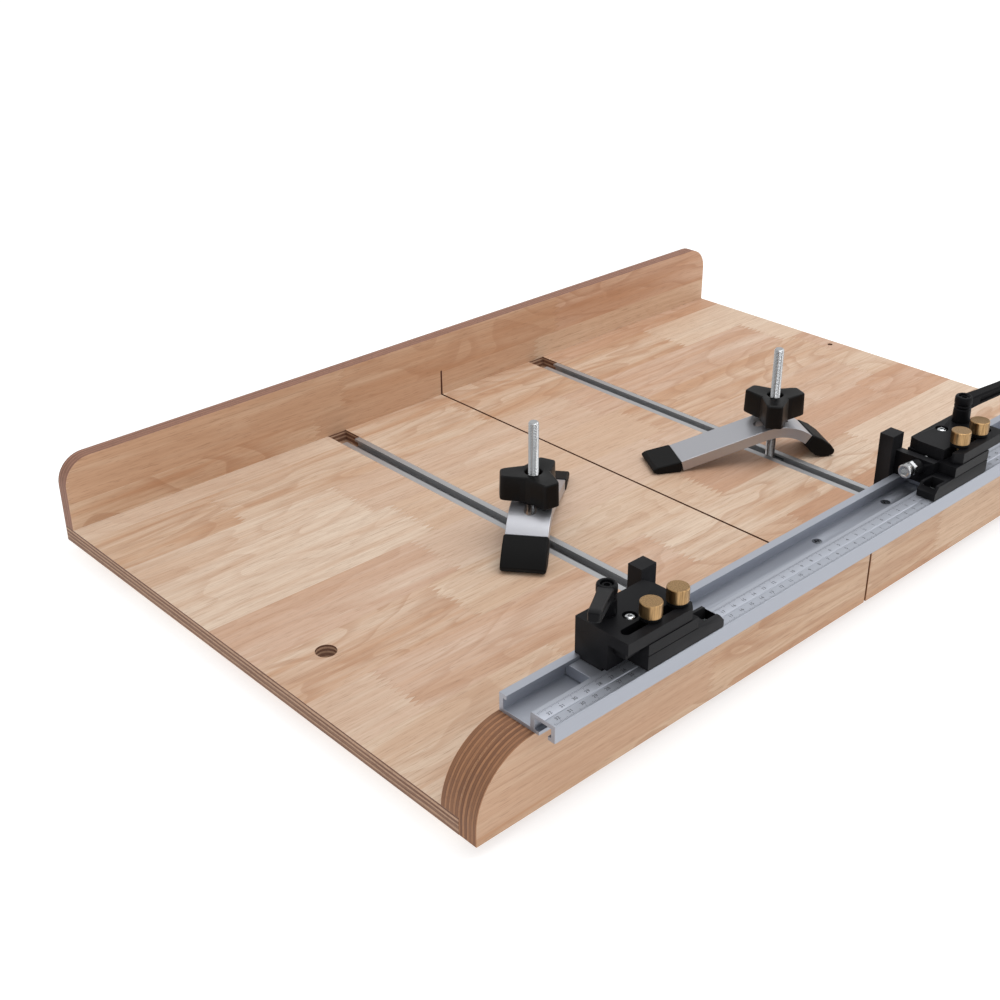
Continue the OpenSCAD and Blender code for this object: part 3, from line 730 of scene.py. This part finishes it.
# Adjusting screws, in mm: radius and height of the head, radius and half width of its hexagonal
# recess, the recess's depth, and the shank's radius and thread pitch
SCREW_HEAD = 5.25
SCREW_HEAD_HEIGHT = 6.0
HEX_ROUND = 3.1
HEX_HALF = 2.6
HEX_DEPTH = 3.0
SCREW_RADIUS = 3.0
SCREW_PITCH = 1.0


def socket_screw(side):
    """Adjusting screw: knurled socket head with a hexagonal recess on a threaded shank."""
    node = f"{side}_adjust_screw"
    low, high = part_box(node)
    centre = (low + high) / 2
    outward = 1 if side == "left" else -1
    tip = high.x if outward > 0 else low.x
    # Local Z runs inwards from the head's outer face
    place = at(tip, centre.y, centre.z, Matrix.Rotation(math.radians(-90 * outward), 4, "Y"))
    length = (high.x - low.x) / MM
    bm = bmesh.new()

    def knurl(radius, height, k):
        return radius - (KNURL if 0.7 < height < 5.2 and k % 2 and radius > 5 else 0.0)

    head = [
        (HEX_ROUND, HEX_DEPTH), (HEX_ROUND, 0.25), (HEX_ROUND + 0.35, 0), (SCREW_HEAD - 0.55, 0),
        (SCREW_HEAD, 0.55), (SCREW_HEAD, SCREW_HEAD_HEIGHT - 0.6), (SCREW_HEAD - 0.25, SCREW_HEAD_HEIGHT),
        (HEX_ROUND, SCREW_HEAD_HEIGHT),
    ]
    rings = lathe(bm, head, place, 72, knurl)
    bm.faces.new(rings[0])
    for ring in rings[:2]:
        for k, vert in enumerate(ring):
            angle = math.tau * k / len(ring)
            reach = HEX_HALF / math.cos((angle + math.pi / 6) % (math.pi / 3) - math.pi / 6)
            z = (place.inverted() @ vert.co).z
            vert.co = place @ Vector((reach * math.cos(angle), reach * math.sin(angle), z))
    bm.faces.new(list(reversed(rings[-1])))
    thread(bm, place, SCREW_HEAD_HEIGHT - 0.1, length, SCREW_RADIUS, SCREW_PITCH)
    stand_in(node, "_steel", bm, BRIGHT_STEEL, 30.0)


# A thread's depth as a share of its pitch, its rows in each turn, and its end chamfer in mm
THREAD_DEPTH = 0.54
THREAD_ROWS = 6
THREAD_CHAMFER = 0.9


def thread(bm, place, low, high, radius, pitch, steps=28):
    """Helical thread as one closed rod, chamfered at both ends."""
    depth = THREAD_DEPTH * pitch
    rows = int((high - low) / pitch * THREAD_ROWS)
    core = radius - THREAD_CHAMFER
    previous = None
    for row in range(rows + 1):
        z = low + (high - low) * row / rows
        ring = []
        for k in range(steps):
            phase = (z / pitch - k / steps) % 1.0
            swing = abs(2 * phase - 1)
            r = radius - depth * min(1.0, max(0.0, 1.25 * swing - 0.12))
            r = min(r, core + (high - z) * 0.9, core + (z - low) * 0.9 + 0.4)
            angle = math.tau * k / steps
            ring.append(bm.verts.new(place @ Vector((r * math.cos(angle), r * math.sin(angle), z))))
        if previous:
            bridge(bm, previous, ring)
        else:
            bm.faces.new(list(reversed(ring)))
        previous = ring
    bm.faces.new(previous)


# Hairline, in mm: half its width, its ends' distance from the lens's, and its depths below the lens
HAIRLINE_HALF = 0.09
HAIRLINE_END = 0.2
HAIRLINE_DEPTHS = (0.05, 0.01)


def hairline(side):
    """Printed hairline across the underside of the cursor's lens."""
    low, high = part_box(f"{side}_cursor_lens")
    x = (low.x + high.x) / 2
    half, end = HAIRLINE_HALF * MM, HAIRLINE_END * MM
    bottom, top = (low.z - depth * MM for depth in HAIRLINE_DEPTHS)
    bm = bmesh.new()
    block(bm, (x - half, low.y + end, bottom), (x + half, high.y - end, top))
    name = f"{side}_cursor_hairline"
    finish_piece(name, to_mesh(bm, name), RED_INK, f"{side}_arm")


for side in ("left", "right"):
    refined(f"{side}_carriage_block", BLACK_METAL, 0.45)
    refined(f"{side}_top_plate", BLACK_METAL, 0.55)
    refined(f"{side}_stop_arm", BLACK_METAL, 0.8)
    refined(f"{side}_plate_screws", BRIGHT_STEEL, 0.2)
    refined(f"{side}_adjust_nut", BRIGHT_STEEL, 0.25)
    refined(f"{side}_cursor_lens", LENS, 0.2)
    refined(f"{side}_collar_inner", BLACK_PLASTIC, 0.2)
    refined(f"{side}_collar_outer", BLACK_PLASTIC, 0.2)
    hairline(side)
    brass_knob(f"{side}_knob_inner")
    brass_knob(f"{side}_knob_outer")
    clamp_lever(side)
    socket_screw(side)


# ---------------------------------------------------------------- clamps

# Star knob, in mm: a lobe's reach and half width, the waist's distance from the axis, the star's
# underside and top, and the undersides of its hub
LOBE_REACH = 25.4
LOBE_HALF = 6.6
WAIST = 13.4
STAR_LOW = 46.8
STAR_TOP = 67.0
HUB_LOW = 45.9
BORE = 6.0
# How tightly a lobe's blunt end turns into its flank
CORNER = 22.0
LOBE_STEPS = 144
LOBE_ANGLES = {"left": 139.6, "right": 97.6}


def star_radius(angle):
    """Radius of the three-lobed knob: blunt lobe ends joined by shallow, slightly hollow sides."""
    off = abs((angle + 60.0) % 120.0 - 60.0)
    c, s = math.cos(math.radians(off)), math.sin(math.radians(off))
    waist = (WAIST * math.cos(math.radians(60)), WAIST * math.sin(math.radians(60)))
    run = (waist[0] - LOBE_REACH, waist[1] - LOBE_HALF)
    normal = (run[1], -run[0])
    flank = (LOBE_REACH * normal[0] + LOBE_HALF * normal[1]) / (c * normal[0] + s * normal[1])
    end = LOBE_REACH / max(c, 0.2)
    return (end ** -CORNER + flank ** -CORNER) ** (-1 / CORNER)


def star_knob(side):
    """Moulded three-lobed knob with a sunk top and a short hub, over a brass insert."""
    node = f"{side}_star_knob"
    place = upright(f"{side}_knob_insert", LOBE_ANGLES[side])
    # Rings of the star: height, and an offset from its outline
    stars = (
        (STAR_LOW, -1.2), (STAR_LOW + 0.3, -0.4), (STAR_LOW + 1.1, 0.0),
        (STAR_TOP - 1.6, -0.5), (STAR_TOP - 0.6, -1.0), (STAR_TOP - 0.1, -2.0),
    )
    # Round rings, over the sunk top, down the bore and up the hub: height and radius
    rounds = (
        (STAR_TOP, 8.2), (STAR_TOP - 0.3, 7.0), (STAR_TOP - 1.0, 6.6), (STAR_TOP - 5.0, 6.3),
        (STAR_TOP - 5.0, BORE), (HUB_LOW, BORE), (HUB_LOW, 9.6), (HUB_LOW + 0.3, 10.0), (STAR_LOW, 10.0),
    )
    angles = [360.0 * k / LOBE_STEPS for k in range(LOBE_STEPS)]
    bm = bmesh.new()
    rings = [
        [polar(bm, place, star_radius(a) + offset, a, height) for a in angles] for height, offset in stars
    ]
    rings += [[polar(bm, place, radius, a, height) for a in angles] for height, radius in rounds]
    for a, b in zip(rings, rings[1:] + rings[:1]):
        bridge(bm, a, b)
    stand_in(node, "_moulded", bm, BLACK_PLASTIC, 24.0)


def polar(bm, place, radius, angle, height):
    """New corner at a radius, an angle in degrees and a height in the placement."""
    a = math.radians(angle)
    return bm.verts.new(place @ Vector((radius * math.cos(a), radius * math.sin(a), height)))


# T-bolt, in mm: radius and pitch of its thread, and the heights of its thread's foot and head's top
BOLT_RADIUS = 4.0
BOLT_PITCH = 1.25
BOLT_FOOT = 9.3
BOLT_HEAD_TOP = 9.6


def t_bolt(side):
    """Threaded T-bolt: a rounded T-head in the track and a rod up through the clamp."""
    node = f"{side}_t_bolt"
    low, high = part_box(node)
    place = upright(node)
    bm = bmesh.new()
    thread(bm, place, BOLT_FOOT, (high.z - BOARD_Z) / MM, BOLT_RADIUS, BOLT_PITCH, 36)
    stand_in(node, "_rod", bm, BRIGHT_STEEL, 30.0)
    bm = bmesh.new()
    block(bm, low, (high.x, high.y, BOARD_Z + BOLT_HEAD_TOP * MM))
    name = node + "_head"
    finish_piece(name, to_mesh(bm, name), BRIGHT_STEEL, BODY_OF[node], (), 30.0, 0.7, 3)


for side in ("left", "right"):
    refined(f"{side}_clamp_bar", BAR_METAL, 0.7, 3)
    refined(f"{side}_toe_pad", BLACK_RUBBER, 2.2, 4)
    refined(f"{side}_heel_pad", BLACK_RUBBER, 2.2, 4)
    refined(f"{side}_clamp_washer", BLACK_PLASTIC, 0.3)
    refined(f"{side}_knob_insert", BRASS, 0.2)
    star_knob(side)
    t_bolt(side)


# ---------------------------------------------------------------- floor, light and camera


WORLD_LIGHT = 0.78
FLOOR_HALF = 20.0
# Each lamp: its name, its place, the point it looks at, its width in metres and its power in watts
LIGHTS = (
    ("overhead", (0.35, -0.25, 1.6), (0.0, 0.0, 0.0), 1.2, 13.0),
    ("right", (1.7, -0.9, 1.2), (0.1, 0.0, 0.0), 1.0, 5.0),
    ("front", (-1.3, -1.6, 1.0), (0.0, -0.1, 0.0), 1.0, 2.5),
)


def stage():
    """Plain pale floor with soft light from above, the right and the front."""
    floor_mesh = bpy.data.meshes.new("floor")
    corners = [(x * FLOOR_HALF, y * FLOOR_HALF, 0) for x, y in ((-1, -1), (1, -1), (1, 1), (-1, 1))]
    floor_mesh.from_pydata(corners, [], [(0, 1, 2, 3)])
    floor = linked("floor", floor_mesh)
    t = Tree("floor")
    glow = {"Emission_Strength": 0.62, "Emission_Color": (1, 1, 1, 1)}
    floor_mesh.materials.append(t.finish((0.55, 0.55, 0.55), 0.9, Specular_IOR_Level=0.0, **glow))
    world = bpy.data.worlds.new("studio")
    bpy.context.scene.world = world
    world.use_nodes = True
    background = world.node_tree.nodes["Background"]
    background.inputs["Color"].default_value = (1.0, 1.0, 1.0, 1.0)
    background.inputs["Strength"].default_value = WORLD_LIGHT
    for name, place, target, size, power in LIGHTS:
        lamp = bpy.data.lights.new(name, "AREA")
        lamp.shape, lamp.size, lamp.energy = "SQUARE", size, power
        holder = linked(name, lamp)
        holder.location = place
        holder.rotation_euler = (Vector(target) - Vector(place)).to_track_quat("-Z", "Y").to_euler()


# The camera's place in metres, its heading from +X and its pitch and roll in degrees
CAMERA_PLACE = (-0.76208, -0.68036, 0.55049)
CAMERA_HEADING, CAMERA_PITCH, CAMERA_ROLL = 47.561, -28.294, -0.481
CAMERA_LENS = 50.618
SENSOR_WIDTH = 36.0


def camera():
    """Camera at its place, with its right-hand side tilted by the roll."""
    data = bpy.data.cameras.new("camera")
    data.lens, data.sensor_width = CAMERA_LENS, SENSOR_WIDTH
    data.clip_start, data.clip_end = 0.02, 60.0
    holder = linked("camera", data)
    h, p, r = (math.radians(a) for a in (CAMERA_HEADING, CAMERA_PITCH, CAMERA_ROLL))
    ahead = Vector((math.cos(p) * math.cos(h), math.cos(p) * math.sin(h), math.sin(p)))
    level = Vector((math.sin(h), -math.cos(h), 0.0))
    right = level * math.cos(r) + level.cross(ahead) * math.sin(r)
    turn = Matrix((right, right.cross(ahead), -ahead)).transposed().to_4x4()
    holder.matrix_world = Matrix.Translation(CAMERA_PLACE) @ turn
    bpy.context.scene.camera = holder


stage()
camera()
bpy.context.scene.view_settings.view_transform = "Standard"
